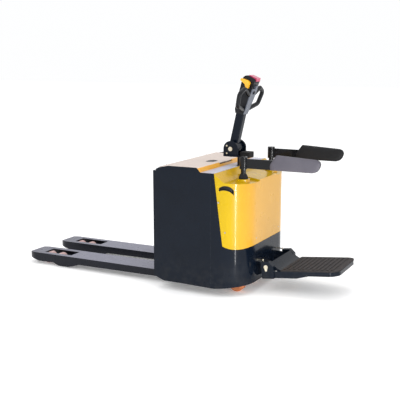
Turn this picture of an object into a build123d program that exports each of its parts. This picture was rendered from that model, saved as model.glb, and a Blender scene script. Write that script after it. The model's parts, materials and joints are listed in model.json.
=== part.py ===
from build123d import *
import os
from math import atan2, cos, degrees, hypot, radians, sin

# Electric rider pallet truck. Millimetres, +Z up, +X from the forks to the operator's end, +Y to the truck's
# left. While modelling, X = 0 is the body's face on the fork side; save() moves everything so that the
# exported origin lies on the floor under the middle of the bounding box.

# ---- driving sizes: body ----
body_width = 810
body_length = 592
corner_radius = 210          # round corners of the body's plan, operator's end
sheet = 5                    # steel side panels and skirt
wall_gap = 1.5               # seam between hood and chassis panels
z_panel_low = 59             # lowest edge of the side panels
z_rim = 800                  # top edge of the side panels beside the battery lid
z_dash = 772                 # flat band in front of the hood
battery_bay_end = 284        # rear edge of the battery lid
step_width = 26              # orange step between lid and dash
hood_front = 404             # where the hood starts, at the top
hood_lean = 52               # how far the hood's front edge leans back towards its lower end
z_hood_low = 326             # hood's lower edge on the side
hood_sag = 24                # the lower edge dips this much below its two ends
z_hood_shoulder = 716        # hood's top behind its sloping front facet
hood_facet = 58              # length of that facet
hood_fall = 14               # fall of the hood's top towards the operator
hood_sheet = 4
crown_half = 140             # half width of the raised middle of the hood's top
crown_rise = 20

# ---- driving sizes: forks and load wheels ----
fork_length = 1160
fork_overall = 545           # outside to outside
fork_width = 180
fork_sheet = 5
z_fork_top = 83
z_fork_low = 37
fork_tip_radius = fork_width / 2 - 4
tip_bulge = 8                # the plan's round corners are struck this far beyond the tip
lift_height = 120
roller_radius = 37
roller_width = 66
roller_pitch = 94            # between the two rollers of one fork
roller_middle = 972          # from the body's face to the middle of the two rollers
arm_reach = 170              # from the load arm's pivot to the middle of the rollers
z_arm_pivot = 56
crank = 32                   # lever under the load arm's pivot, pulled by the rod
skid_clear = 7               # hump under the fork above the floor
slot_front = 1030            # slot in the fork's top, nearer the tip
slot_back = 800
carriage_depth = 20
carriage_top = 765

# ---- driving sizes: drive, casters ----
drive_x = 397                # steering axis, on the middle plane
drive_radius = 115
drive_width = 72
motor_radius = 76
motor_height = 190
column_radius = 21
caster_x = 450
caster_y = 215
caster_trail = 30
caster_radius = 52
caster_width = 46

# ---- driving sizes: tiller ----
tiller_x = 356               # pivot of the tiller arm
z_tiller = 883
tiller_lean = 12.8           # degrees towards the operator, at rest
cheek_radius = 51
z_base_low = 833
base_half = 66               # half width of the tiller base
cheek = 14
arm_length = 226
head_length = 258
grip_reach = 196             # middle plane to the outside of a hand grip
grip_radius = 14
button_travel = 6

# ---- driving sizes: side guards ----
post_x = 518
post_y = 225
post_radius = 16
z_post_top = 856
z_guard_low = 790
guard_height = 60
guard_arm_end = 690
guard_end = 1016
guard_pad_top = 884
guard_pad_thick = 34
guard_rise = {1: 16, -1: 0}   # the left guard's sleeve sits a little higher on its post

# ---- driving sizes: operator platform ----
hinge_x = body_length + 75
z_hinge = 170
hinge_half = 200             # half width over the hinge arms
platform_tilt = 6            # degrees up from level, at rest
platform_reach = 462         # from the hinge to the platform's rear edge
platform_half = 190
mat_start = 92
mat_thick = 10
mat_below_hinge = 15
rib_count = 11

# ---- named clearances ----
run_gap = 0.06               # radial clearance of a turning fit
slide_gap = 2                # between plates that pass each other
touch_gap = 0.3              # between bodies whose faces meet

half = body_width / 2
fork_y = (fork_overall - fork_width) / 2
platform_end = hinge_x + platform_reach * cos(radians(platform_tilt)) + (
    mat_below_hinge * sin(radians(platform_tilt))
)
x_middle = (platform_end - fork_length) / 2
SIDES = (("left", 1), ("right", -1))


# ---- helpers ----
def block(x, y, z):
    """A box between three pairs of limits."""
    size = [b - a for a, b in (x, y, z)]
    middle = [(a + b) / 2 for a, b in (x, y, z)]
    return Pos(*middle) * Box(*size)


def slab(outline, y_low, y_high):
    """A closed outline in X and Z, given thickness along Y."""
    face = Plane.XZ.offset(-y_low) * make_face(outline)
    return extrude(face, y_high - y_low, dir=(0, 1, 0))


def poly(*points):
    return Polyline(*points, close=True)


def tube_y(x, z, radius, y_low, y_high):
    """A cylinder lying across the truck."""
    return Pos(x, (y_low + y_high) / 2, z) * Rot(90, 0, 0) * Cylinder(radius, y_high - y_low)


def tube_z(x, y, radius, z_low, z_high):
    return Pos(x, y, (z_low + z_high) / 2) * Cylinder(radius, z_high - z_low)


def pin_between(a, b, radius):
    """A round bar between two points."""
    start, end = Vector(a), Vector(b)
    plane = Plane(origin=start, z_dir=end - start)
    return extrude(plane * Circle(radius), (end - start).length)


def about(x, z, turn):
    """Turns a shape built around the upright at (0, 0) in XZ and puts it at (x, z). Positive leans towards +X."""
    return Pos(x, 0, z) * Rot(0, turn, 0)


def plan(inset, z_low, z_high, front=0):
    """The body's plan: square towards the forks, two round corners towards the operator."""
    width, end = body_width - 2 * inset, body_length - inset
    face = Pos((front + end) / 2, 0) * Rectangle(end - front, width)
    rear = face.vertices().sort_by(Axis.X)[-2:]
    face = fillet(rear, corner_radius - inset)
    return extrude(Pos(0, 0, z_low) * face, z_high - z_low)


def save(shape, node):
    export_step(Pos(-x_middle, 0, 0) * shape, f"parts/{node}.step")


# ---- chassis panels and hood ----
def hood_region(grow):
    """Everything behind the seam between chassis and hood, seen from the side."""
    high = z_rim + 50
    front_low = (hood_front + hood_lean - grow, z_hood_low - grow)
    rear_low = (body_length + 10, z_hood_low - hood_sag / 2 - grow)
    dip = ((front_low[0] + rear_low[0]) / 2, z_hood_low - hood_sag - grow)
    outline = [
        Line((hood_front - grow, high), (hood_front - grow, z_dash)),
        Line((hood_front - grow, z_dash), front_low),
        ThreePointArc(front_low, dip, rear_low),
        Line(rear_low, (rear_low[0], high)),
        Line((rear_low[0], high), (hood_front - grow, high)),
    ]
    return slab(outline, -half - 10, half + 10)


def chassis_shell():
    """The sheet that wraps the body, before it is cut into two sides and a rear skirt."""
    shell = plan(0, 0, z_rim) - plan(sheet, -1, z_rim + 1, front=-1)
    step_end = battery_bay_end + step_width
    low_front, low_rear = z_panel_low + 19, z_panel_low + 22
    kept = slab(
        poly(
            (0, low_front),
            (52, z_panel_low),
            (168, z_panel_low),
            (hood_front, z_panel_low - 6),
            (body_length + 5, low_rear - 12),
            (body_length + 5, z_dash),
            (step_end, z_dash),
            (battery_bay_end, z_rim),
            (88, z_rim),
            (flange_end, z_rim - 14),
            (0, z_rim - 24),
        ),
        -half - 5,
        half + 5,
    )
    return (shell & kept) - hood_region(wall_gap)


def side_panel(side):
    seam = body_length - corner_radius
    return chassis_shell() & block((0, seam), sorted((0, side * (half + 1))), (0, z_rim + 1))


def rear_skirt():
    seam = body_length - corner_radius
    return chassis_shell() & block((seam, body_length + 1), (-half - 1, half + 1), (0, z_rim + 1))


lid_hinge_x = 26
hinge_bar = 4                # radius of the bar along the lid's front edge
flange_end = lid_hinge_x - hinge_bar - slide_gap
lid_thick = 12
lid_top = z_rim - 8
ear_half = 5
ear_y = 280
cylinder_x = 34
cylinder_y = 330
lug_half = 16
lug_low = 553
lug_high = 573


def front_wall():
    """The body's face behind the fork carriage, slotted for its lugs, with a top flange and the lid's bearings."""
    inside = half - sheet
    wall = block((0, 6), (-inside, inside), (90, z_rim - 24))
    wall += slab(
        poly((0, z_rim - 24), (flange_end, z_rim - 14), (flange_end, z_rim - 22), (6, z_rim - 40), (0, z_rim - 40)),
        -inside,
        inside,
    )
    z_bar = lid_top - hinge_bar
    for _, side in SIDES:
        y_range = (side * ear_y - ear_half, side * ear_y + ear_half)
        ear = block((4, lid_hinge_x + hinge_bar + 4), y_range, (z_bar - 30, z_bar - 0.5))
        wall += ear - tube_y(lid_hinge_x, z_bar, hinge_bar + run_gap, *y_range)
    for _, side in SIDES:
        middle = side * cylinder_y
        wall -= block(
            (-1, 7),
            (middle - lug_half - slide_gap, middle + lug_half + slide_gap),
            (lug_low - slide_gap, lug_high + lift_height + slide_gap),
        )
    return wall


bay_floor = 90
bay_floor_thick = 8
bulkhead_thick = 6
bulkhead_x = drive_x - hypot(drive_radius, drive_width / 2) - 2 * slide_gap - bulkhead_thick


def battery_bay():
    """Floor under the battery and the bulkhead behind it."""
    inside = half - sheet
    floor = block((6, bulkhead_x), (-inside, inside), (bay_floor, bay_floor + bay_floor_thick))
    bulkhead = block((bulkhead_x, bulkhead_x + bulkhead_thick), (-inside, inside), (bay_floor, z_dash - 14))
    return floor + bulkhead


deck_low = 2 * drive_radius + 32
deck_high = deck_low + 8
ring_radius = 105
caster_top = 160


def drive_deck():
    """The plate that carries the drive unit, with two posts down to the casters."""
    deck = plan(sheet, deck_low, deck_high, front=bulkhead_x + bulkhead_thick)
    deck -= tube_z(drive_x, 0, ring_radius, deck_low - 1, deck_high + 1)
    for _, side in SIDES:
        deck += tube_z(caster_x, side * caster_y, 34, caster_top, deck_low)
        deck -= tube_z(caster_x, side * caster_y, 12 + run_gap, caster_top - 1, caster_top + 40)
    return deck


def hood_top(drop, crown):
    """The space under the hood's top, seen from the side and lowered by drop."""
    facet_end = hood_front + hood_facet
    shoulder = z_hood_shoulder + crown - drop
    slope = (z_dash - z_hood_shoulder) / hood_facet
    bend = facet_end - crown / slope
    return poly(
        (hood_front - 30, z_dash - drop + 30 * slope),
        (bend, shoulder),
        (body_length + 5, shoulder - hood_fall - crown / 2),
        (body_length + 5, 0),
        (hood_front - 30, 0),
    )


def hood_solid(inset):
    body = plan(inset, 0, z_dash - inset, front=hood_front - 25)
    low = body & slab(hood_top(inset, 0), -half - 5, half + 5)
    high = body & slab(hood_top(inset, crown_rise), -crown_half + inset, crown_half - inset)
    return low + high


boss_radius = 42
boss_top = 725


def grip_outline(grow):
    """The curved hand opening on the hood's flank: a bent bean."""
    front, rear, mid = 434, 516, 470
    upper = ThreePointArc((front - grow, 684), (mid, 699 + grow), (rear + grow, 668))
    lower = ThreePointArc((rear + grow, 636 - grow), (mid + 12, 668 - grow), (front - grow, 664 - grow))
    return [
        upper,
        Line((rear + grow, 668), (rear + grow, 636 - grow)),
        lower,
        Line((front - grow, 664 - grow), (front - grow, 684)),
    ]


screw_radius = 5


def hood_screw_places():
    """Where the hood is screwed on: a point on the surface and the outward direction."""
    flank = [((434, side * half, 597), (0, side, 0)) for _, side in SIDES]
    flank += [((470, side * flank_y(470), 411), (0, side, 0)) for _, side in SIDES]
    rear = [((body_length, y, 350), (1, 0, 0)) for y in (-183, 183)]
    return flank + rear


def flank_y(x):
    """Half width of the body's plan at X."""
    centre = body_length - corner_radius
    if x <= centre:
        return half
    return half - corner_radius + (corner_radius**2 - (x - centre) ** 2) ** 0.5


def hood():
    shell = (hood_solid(0) - hood_solid(hood_sheet)) & hood_region(0)
    shell -= tube_z(drive_x, 0, column_radius + 9, z_dash - 60, z_dash + 5)
    for point, out in hood_screw_places():
        shell -= screw(point, out)
    for _, side in SIDES:
        boss = tube_z(post_x, side * post_y, boss_radius, z_hood_shoulder - 30, boss_top)
        shell += boss - tube_z(post_x, side * post_y, boss_radius - hood_sheet, 0, boss_top - hood_sheet)
        shell -= tube_z(post_x, side * post_y, post_radius, 0, boss_top + 1)
        outer = sorted((side * (half - 110), side * (half + 5)))
        shell -= slab(grip_outline(0), *outer)
    return shell


def hood_grips():
    """Dark cups behind the two hand openings."""
    cups = []
    for _, side in SIDES:
        outer = sorted((side * (half - 110), side * (half + 5)))
        skin = plan(1.5, 0, z_dash) - plan(hood_sheet + 12, -1, z_dash + 1)
        recess = plan(0, 0, z_dash) - plan(hood_sheet + 8, -1, z_dash + 1)
        cups.append((skin & slab(grip_outline(0), *outer)) - (recess & slab(grip_outline(-4), *outer)))
    return Compound(cups)


def screw(point, out):
    surface, outward = Vector(*point), Vector(*out)
    return pin_between(surface - outward * hood_sheet, surface + outward * 1.5, screw_radius)


def hood_screws():
    return Compound([screw(point, out) for point, out in hood_screw_places()])


def dash_panel():
    """The flat grey band between the step and the hood, with the hole for the steering column."""
    inside = half - sheet
    start = battery_bay_end + step_width
    band = block((start, hood_front - 1), (-inside, inside), (z_dash - 6, z_dash))
    band &= plan(sheet, z_dash - 10, z_dash + 1)
    return band - tube_z(drive_x, 0, column_radius + 9, z_dash - 10, z_dash + 1)


finger_slot = 95             # half length


def lid_step():
    """The sloping strip behind the battery lid, with a finger slot to lift the lid by."""
    inside = half - sheet
    start, end = battery_bay_end + 1, battery_bay_end + step_width
    z_high = z_rim - 5
    strip = slab(
        poly((start, z_high), (start + 3, z_high), (end, z_dash), (end, z_dash - 12), (start, z_dash - 12)),
        -inside,
        inside,
    )
    strip -= block((start - 1, start + 12), (-finger_slot, finger_slot), (z_dash, z_high + 1))
    return strip


def battery_lid():
    """A pressed lid: a sheet with a turned-down rim, a hinge bar along its front and a shallow oval recess."""
    inside = half - sheet - slide_gap
    x_range = (lid_hinge_x, battery_bay_end - 1)
    lid = block(x_range, (-inside, inside), (lid_top - lid_thick, lid_top))
    rear = lid.edges().filter_by(Axis.Y).group_by(Axis.Z)[-1]
    lid = fillet(rear, 4)
    lid -= block(
        (x_range[0] + 3, x_range[1] - 3),
        (-inside + 3, inside - 3),
        (lid_top - lid_thick - 1, lid_top - 4),
    )
    lid -= Pos(204, -31, lid_top - 2) * Rot(0, 0, 90) * extrude(SlotOverall(96, 64), 4)
    z_bar = lid_top - hinge_bar
    for _, side in SIDES:
        notch = ear_half + slide_gap
        y_range = (side * ear_y - notch, side * ear_y + notch)
        lid -= block((lid_hinge_x - 1, lid_hinge_x + hinge_bar + 6), y_range, (0, z_bar))
    return lid + tube_y(lid_hinge_x, z_bar, hinge_bar, -inside, inside)


# ---- battery, hydraulics and electrics inside the body ----
def battery():
    """Steel-cased traction battery with twelve cell caps and its lifting eyes."""
    low = bay_floor + bay_floor_thick
    x_range = (cylinder_x + cylinder_radius + 4, bulkhead_x - 4)
    y_half = half - sheet - 12
    case = block(x_range, (-y_half, y_half), (low, z_dash - 58))
    pitch = 2 * y_half / 12
    for i in range(12):
        y = (i - 5.5) * pitch
        case += tube_z(sum(x_range) / 2, y, 14, z_dash - 58, z_dash - 44)
    return case


def hydraulic_unit():
    """Pump motor standing on its oil tank."""
    y = -half + 128
    tank = block((drive_x - 62, drive_x + 40), (y - 60, y + 60), (deck_high, deck_high + 110))
    motor = tube_z(drive_x - 12, y, 46, deck_high + 110, deck_high + 250)
    return tank + motor + tube_z(drive_x - 12, y, 24, deck_high + 250, deck_high + 268)


def motor_controller():
    """Finned controller with its contactor, on the deck beside the motor."""
    y = half - 128
    base = block((drive_x - 70, drive_x + 45), (y - 60, y + 60), (deck_high, deck_high + 22))
    case = base + block((drive_x - 60, drive_x + 10), (y - 52, y + 52), (deck_high + 22, deck_high + 92))
    for i in range(9):
        fin_y = y - 48 + 12 * i
        case += block((drive_x - 60, drive_x + 10), (fin_y - 2, fin_y + 2), (deck_high + 92, deck_high + 110))
    return case + tube_z(drive_x + 28, y, 15, deck_high + 22, deck_high + 70)


cylinder_radius = 22
rod_radius = 12
cylinder_top = 430


def lift_cylinders():
    tubes = []
    for _, side in SIDES:
        low = bay_floor + bay_floor_thick
        tube = tube_z(cylinder_x, side * cylinder_y, cylinder_radius, low, cylinder_top)
        bore = tube_z(cylinder_x, side * cylinder_y, rod_radius + run_gap, low + 12, cylinder_top + 1)
        tubes.append(tube - bore)
    return Compound(tubes)


def piston_rods():
    foot = bay_floor + bay_floor_thick + 12 + slide_gap
    return Compound([tube_z(cylinder_x, side * cylinder_y, rod_radius, foot, lug_low) for _, side in SIDES])


# ---- fork carriage and load wheels ----
def carriage_plate():
    """Upright plate on the heels of the forks, with a lug to each lift cylinder."""
    x_range = (-slide_gap - carriage_depth, -slide_gap)
    inside = half - 3
    plate = block(x_range, (-inside, inside), (z_fork_top, carriage_top))
    for _, side in SIDES:
        heel = (side * fork_y - fork_width / 2, side * fork_y + fork_width / 2)
        plate += block(x_range, heel, (z_fork_low, z_fork_top))
        rod_hole = Rot(0, 90, 0) * Cylinder(pull_rod_radius + slide_gap + 1, 3 * carriage_depth)
        plate -= Pos(0, side * fork_y, z_arm_pivot) * rod_hole
        middle = side * cylinder_y
        plate += block(
            (x_range[0] + 5, cylinder_x + rod_radius + 2),
            (middle - lug_half, middle + lug_half),
            (lug_low, lug_high),
        )
    return plate


def fork_outline(inset):
    """The fork from the side: a rounded, upswept tip, room for the rollers, and the hump that guards the crank."""
    tip, high, heel = fork_length - inset, z_fork_top - inset, -slide_gap - carriage_depth
    low = z_fork_low if inset == 0 else -20
    pivot = roller_middle - arm_reach
    if inset:
        return [
            Line((heel + 1, high), (-tip + 34, high)),
            ThreePointArc((-tip + 34, high), (-tip + 10, high - 8), (-tip, high - 22)),
            Line((-tip, high - 22), (-tip, low)),
            Line((-tip, low), (heel + 1, low)),
            Line((heel + 1, low), (heel + 1, high)),
        ]
    hump_low, hump_front, hump_back = skid_clear, pivot + 80, pivot
    return [
        Line((heel, high), (-tip + 34, high)),
        ThreePointArc((-tip + 34, high), (-tip + 9, high - 8), (-tip, high - 23)),
        ThreePointArc((-tip, high - 23), (-tip + 12, high - 37), (-tip + 40, high - 45)),
        Line((-tip + 40, high - 45), (-tip + 105, high - 60)),
        Line((-tip + 105, high - 60), (-hump_front - 45, high - 58)),
        ThreePointArc(
            (-hump_front - 45, high - 58), (-hump_front - 24, high - 68), (-hump_front, hump_low)
        ),
        Line((-hump_front, hump_low), (-hump_back, hump_low)),
        ThreePointArc((-hump_back, hump_low), (-hump_back + 48, hump_low + 12), (-hump_back + 92, z_fork_low - 3)),
        Line((-hump_back + 92, z_fork_low - 3), (heel, z_fork_low)),
        Line((heel, z_fork_low), (heel, high)),
    ]


def fork_plan(side, inset):
    width = fork_width - 2 * inset
    length = fork_length + tip_bulge - inset
    face = Pos(-length / 2 + 5, side * fork_y) * Rectangle(length + 10, width)
    tip = face.vertices().sort_by(Axis.X)[:2]
    face = fillet(tip, fork_tip_radius - inset)
    return extrude(Pos(0, 0, -30) * face, z_fork_top + 40)


arm_pin_radius = 10
slot_half = 50


def fork(side):
    """A pressed channel, open underneath, with the slot over its rollers and the load arm's pin."""
    y_range = sorted((side * (fork_y - fork_width / 2), side * (fork_y + fork_width / 2)))
    outer = slab(fork_outline(0), *y_range) & fork_plan(side, 0)
    inner = slab(fork_outline(fork_sheet), *y_range) & fork_plan(side, fork_sheet)
    slot = block(
        (-slot_front, -slot_back),
        (side * fork_y - slot_half, side * fork_y + slot_half),
        (z_fork_low, z_fork_top + 1),
    )
    pin_half = fork_width / 2 - fork_sheet / 2
    pin = tube_y(
        -(roller_middle - arm_reach),
        z_arm_pivot,
        arm_pin_radius,
        side * fork_y - pin_half,
        side * fork_y + pin_half,
    )
    return outer - inner - slot + pin


arm_plate = 5
bogie_in = roller_width / 2 + 2
arm_in = bogie_in + arm_plate + slide_gap
hub_radius = 17
axle_radius = 11
bogie_pin = 8


def load_arm(side):
    """Two plates from the fork's pin to the bogie, with the crank that the pull rod turns."""
    y = side * fork_y
    x_pivot, x_end = -(roller_middle - arm_reach), -roller_middle
    angle = degrees(atan2(z_arm_pivot - roller_radius, arm_reach))
    length = hypot(arm_reach, z_arm_pivot - roller_radius)
    arm = tube_y(x_pivot, z_arm_pivot, hub_radius, y - arm_in - arm_plate, y + arm_in + arm_plate)
    arm += block(
        (x_pivot - 10, x_pivot + 10), (y - 14, y + 14), (z_arm_pivot - crank - 8, z_arm_pivot)
    )
    for low in (y - arm_in - arm_plate, y + arm_in):
        plate = Pos(-length / 2, low + arm_plate / 2, 0) * Box(length, arm_plate, 24)
        end = tube_y(-length, 0, 14, low, low + arm_plate)
        arm += Pos(x_pivot, 0, z_arm_pivot) * Rot(0, -angle, 0) * (plate + end)
    arm -= tube_y(x_pivot, z_arm_pivot, arm_pin_radius + run_gap, y - half, y + half)
    return arm - tube_y(x_end, roller_radius, bogie_pin + run_gap, y - half, y + half)


def bogie(side):
    """Rocking link with the two roller axles and the pin to the load arm."""
    y = side * fork_y
    reach = roller_pitch / 2
    link = tube_y(-roller_middle, roller_radius, bogie_pin, y - arm_in - arm_plate, y + arm_in + arm_plate)
    for low in (y - bogie_in - arm_plate, y + bogie_in):
        link += block(
            (-roller_middle - reach, -roller_middle + reach),
            (low, low + arm_plate),
            (roller_radius - 13, roller_radius + 13),
        )
        for end in (-1, 1):
            link += tube_y(-roller_middle + end * reach, roller_radius, 16, low, low + arm_plate)
    for end in (-1, 1):
        link += tube_y(
            -roller_middle + end * reach, roller_radius, axle_radius, y - bogie_in, y + bogie_in
        )
    return link


def load_roller(side, end):
    """A cast polyurethane roller with chamfered rims."""
    y = side * fork_y
    x = -roller_middle + end * roller_pitch / 2
    roller = tube_y(x, roller_radius, roller_radius, y - roller_width / 2, y + roller_width / 2)
    roller = chamfer(roller.edges().filter_by(GeomType.CIRCLE), 2.5)
    return roller - tube_y(x, roller_radius, axle_radius + run_gap, y - half, y + half)


pull_rod_radius = 8


def pull_rod(side):
    """The bar inside the fork that turns the load arm; its pin to the crank is left open."""
    y = side * fork_y
    x_crank = -(roller_middle - arm_reach)
    near = (x_crank + 36, y, z_arm_pivot - crank)
    far = (-slide_gap - carriage_depth - 12, y, z_arm_pivot)
    rod = pin_between(near, far, pull_rod_radius)
    return rod + Pos(*near) * Sphere(pull_rod_radius + 2)


# ---- drive unit, steering column and tiller base ----
leg_in = drive_width / 2 + 5


def drive_unit():
    """Slewing flange on the deck, neck, and the leg that holds the drive wheel from one side."""
    axle_z = drive_radius
    neck_low = 2 * drive_radius + 8
    flange = tube_z(drive_x, 0, ring_radius + 14, deck_high + touch_gap, deck_high + 14)
    neck = tube_z(drive_x, 0, ring_radius - 3, neck_low, deck_high + touch_gap)
    leg = block((drive_x - 52, drive_x + 52), (leg_in, leg_in + 40), (axle_z - 30, neck_low + 5))
    boss = tube_y(drive_x, axle_z, 56, leg_in, leg_in + 40)
    bore = tube_y(drive_x, axle_z, 20 + run_gap, leg_in - 1, leg_in + 30)
    return flange + neck + leg + boss - bore


def traction_motor():
    """Ribbed motor with the parking brake on top."""
    low = deck_high + 14
    motor = tube_z(drive_x, 0, motor_radius, low, low + motor_height)
    for i in range(5):
        z = low + 30 + i * (motor_height - 60) / 4
        motor += tube_z(drive_x, 0, motor_radius + 5, z - 3, z + 3)
    return motor + tube_z(drive_x, 0, motor_radius - 18, low + motor_height, low + motor_height + 48)


def steering_column():
    low = deck_high + 14 + motor_height + 48
    return tube_z(drive_x, 0, column_radius, low, z_base_low)


bumper_x = tiller_x + cheek_radius + 3


def tiller_base():
    """Two round cheeks on a foot that reaches back to the bumper."""
    base = block((tiller_x - cheek_radius, bumper_x), (-base_half, base_half), (z_base_low, z_base_low + 10))
    for low in (-base_half, base_half - cheek):
        base += block(
            (tiller_x - cheek_radius, tiller_x + cheek_radius), (low, low + cheek), (z_base_low, z_tiller)
        )
        base += tube_y(tiller_x, z_tiller, cheek_radius, low, low + cheek)
    return base - tube_y(tiller_x, z_tiller, 12 + run_gap, -base_half - 1, base_half + 1)


def tiller_bumper():
    """The block that catches the lowered tiller."""
    cushion = block((bumper_x, bumper_x + 64), (-40, 40), (z_base_low - 7, z_base_low + 30))
    cushion = fillet(cushion.faces().sort_by(Axis.X)[-1].edges(), 6)
    return cushion - tube_z(drive_x, 0, column_radius, 0, z_base_low)


def drive_hub():
    """Wheel centre with its stub shaft into the leg."""
    rim = drive_radius - 26
    hub = tube_y(drive_x, drive_radius, rim, -drive_width / 2 + 4, drive_width / 2 - 4)
    dish = tube_y(drive_x, drive_radius, rim - 14, -drive_width / 2, -drive_width / 2 + 22)
    dish += tube_y(drive_x, drive_radius, rim - 14, drive_width / 2 - 14, drive_width / 2)
    boss = tube_y(drive_x, drive_radius, 32, -drive_width / 2 + 6, drive_width / 2)
    return hub - dish + boss + tube_y(drive_x, drive_radius, 20, 0, leg_in + 28)


def drive_tyre():
    tyre = tube_y(drive_x, drive_radius, drive_radius, -drive_width / 2, drive_width / 2)
    tyre = fillet(tyre.edges().filter_by(GeomType.CIRCLE), 5)
    return tyre - tube_y(drive_x, drive_radius, drive_radius - 26, -drive_width, drive_width)


# ---- casters ----
def caster_fork(side):
    """Swivel fork with its king pin in the deck's post."""
    y = side * caster_y
    wheel_x = caster_x + caster_trail
    top = caster_top - touch_gap
    crown_low = 2 * caster_radius + 8
    yoke = tube_z(caster_x, y, 12, crown_low, caster_top + 36)
    yoke += tube_z(caster_x, y, 32, crown_low, top)
    yoke += block((caster_x - 26, wheel_x + 20), (y - caster_width / 2 - 9, y + caster_width / 2 + 9), (crown_low, top - 8))
    for low in (y - caster_width / 2 - 9, y + caster_width / 2 + 3):
        yoke += slab(
            poly(
                (caster_x - 26, top - 8),
                (wheel_x + 20, top - 8),
                (wheel_x + 14, caster_radius - 14),
                (wheel_x - 14, caster_radius - 14),
            ),
            low,
            low + 6,
        )
    return yoke + tube_y(wheel_x, caster_radius, 8, y - caster_width / 2 - 12, y + caster_width / 2 + 12)


def caster_wheel(side):
    y = side * caster_y
    wheel_x = caster_x + caster_trail
    wheel = tube_y(wheel_x, caster_radius, caster_radius, y - caster_width / 2, y + caster_width / 2)
    wheel = fillet(wheel.edges().filter_by(GeomType.CIRCLE), 6)
    return wheel - tube_y(wheel_x, caster_radius, 8 + run_gap, y - half, y + half)


# ---- tiller, built upright around its pivot and then leaned ----
arm_left = -35
arm_right = 20
arm_half = 27
knuckle_half = base_half - cheek - 6


def leaned(shape):
    return about(tiller_x, z_tiller, tiller_lean) * shape


def tiller_arm():
    """Box-section arm round the pivot, with the pivot's bore."""
    lower = slab(
        poly((arm_left, 20), (arm_right, 20), (arm_right, arm_length), (arm_left, arm_length)),
        -arm_half,
        arm_half,
    )
    knuckle = tube_y(0, 0, cheek_radius - 13, -knuckle_half, knuckle_half)
    arm = fillet(lower.edges().filter_by(Axis.Z), 9) + knuckle
    return leaned(arm - tube_y(0, 0, 12, -knuckle_half - 1, knuckle_half + 1))


def pivot_bolt():
    """Headed bolt through both cheeks and the arm."""
    bolt = tube_y(0, 0, 12, -base_half - 1, base_half + 1)
    for low in (-base_half - 7, base_half + 1):
        bolt += tube_y(0, 0, 14, low, low + 6)
    return leaned(bolt)


head_low = arm_length
head_half = 40
head_foot_half = 29          # half depth where the head meets the arm
head_taper = 110             # height over which it widens
face_low = 18
face_high = 52


def head_outline():
    """The head from the side: narrow where it meets the arm, swelling towards the operator, domed on top."""
    top = head_low + head_length
    back_low, back_high = arm_left - 10, arm_left + 2
    return [
        Line((arm_left - 2, head_low), (back_low, head_low + 24)),
        Line((back_low, head_low + 24), (back_high, top - 34)),
        ThreePointArc((back_high, top - 34), (back_high + 12, top - 16), (back_high + 38, top - 8)),
        Line((back_high + 38, top - 8), (face_high - 4, top - 20)),
        ThreePointArc((face_high - 4, top - 20), (face_high + 2, top - 26), (face_high, top - 38)),
        Line((face_high, top - 38), (face_low, head_low)),
        Line((face_low, head_low), (arm_left - 2, head_low)),
    ]


button_half = 30


def button_well(grow):
    """The stop button on the head's top, and with grow the well it sinks into."""
    top = head_low + head_length
    deep = grow + button_travel if grow else 0
    beyond = 20 if grow else 0
    return slab(
        poly(
            (arm_left + 36 - grow, top - 24 - deep),
            (arm_left + 36 - grow, top - 3 + beyond),
            (face_high + 6 + beyond, top - 13 + beyond),
            (face_high + 6 + beyond, top - 34 - deep - beyond / 5),
        ),
        -button_half - grow,
        button_half + grow,
    )


throttle_u = 6
throttle_w = head_low + head_length - 50
shaft_radius = 9


def head_sides():
    """The head from the front: the arm's depth at its foot, full depth from the taper up."""
    foot, wide, top = head_foot_half, head_half, head_low + head_length
    return extrude(
        Plane.YZ.offset(-half)
        * make_face(
            poly(
                (-foot, head_low),
                (foot, head_low),
                (wide, head_low + head_taper),
                (wide, top),
                (-wide, top),
                (-wide, head_low + head_taper),
            )
        ),
        body_width,
    )


def tiller_head():
    head = slab(head_outline(), -head_half, head_half) & head_sides()
    head -= button_well(1)
    head -= tube_y(throttle_u, throttle_w, shaft_radius + run_gap, -head_half - 1, head_half + 1)
    head -= horn_shape(0.5)
    head -= rocker_shape(0.5)
    return leaned(head)


def belly_button():
    return leaned(fillet(button_well(0).edges().filter_by(Axis.Y).group_by(Axis.Z)[-1], 5))


horn_w = head_low + 150


def face_place(w):
    """A frame on the operator's face of the head at height w."""
    slope = (face_high - face_low) / (head_length - 38)
    u = face_low + slope * (w - head_low)
    return Pos(u, 0, w) * Rot(0, 90 + degrees(atan2(slope, 1)), 0)


def horn_shape(grow):
    return face_place(horn_w) * Cylinder(10 + grow, 22 + 2 * button_travel * bool(grow))


def rocker_shape(grow):
    middle = face_place(horn_w + 38)
    if grow:
        return middle * Box(26, 32, 44)
    return middle * (Rot(90, 0, 0) * Cylinder(10, 28) + Pos(0, 0, 8) * Box(20, 28, 8))


def horn_button():
    return leaned(horn_shape(0))


def lift_rocker():
    return leaned(rocker_shape(0))


fascia_thick = 5


def head_fascia():
    """The grey panel on the operator's face of the head, open round the horn button and the rocker."""
    slope = (face_high - face_low) / (head_length - 38)
    low, high = 4, head_length - 84
    outline = (
        (face_low + slope * low, head_low + low),
        (face_low + slope * high, head_low + high),
        (face_low + slope * high + fascia_thick, head_low + high),
        (face_low + slope * low + fascia_thick, head_low + low),
    )
    panel = slab(poly(*outline), -head_half, head_half) & head_sides()
    return leaned(panel - horn_shape(0.5) - rocker_shape(0.5))


grip_u = 30


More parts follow.
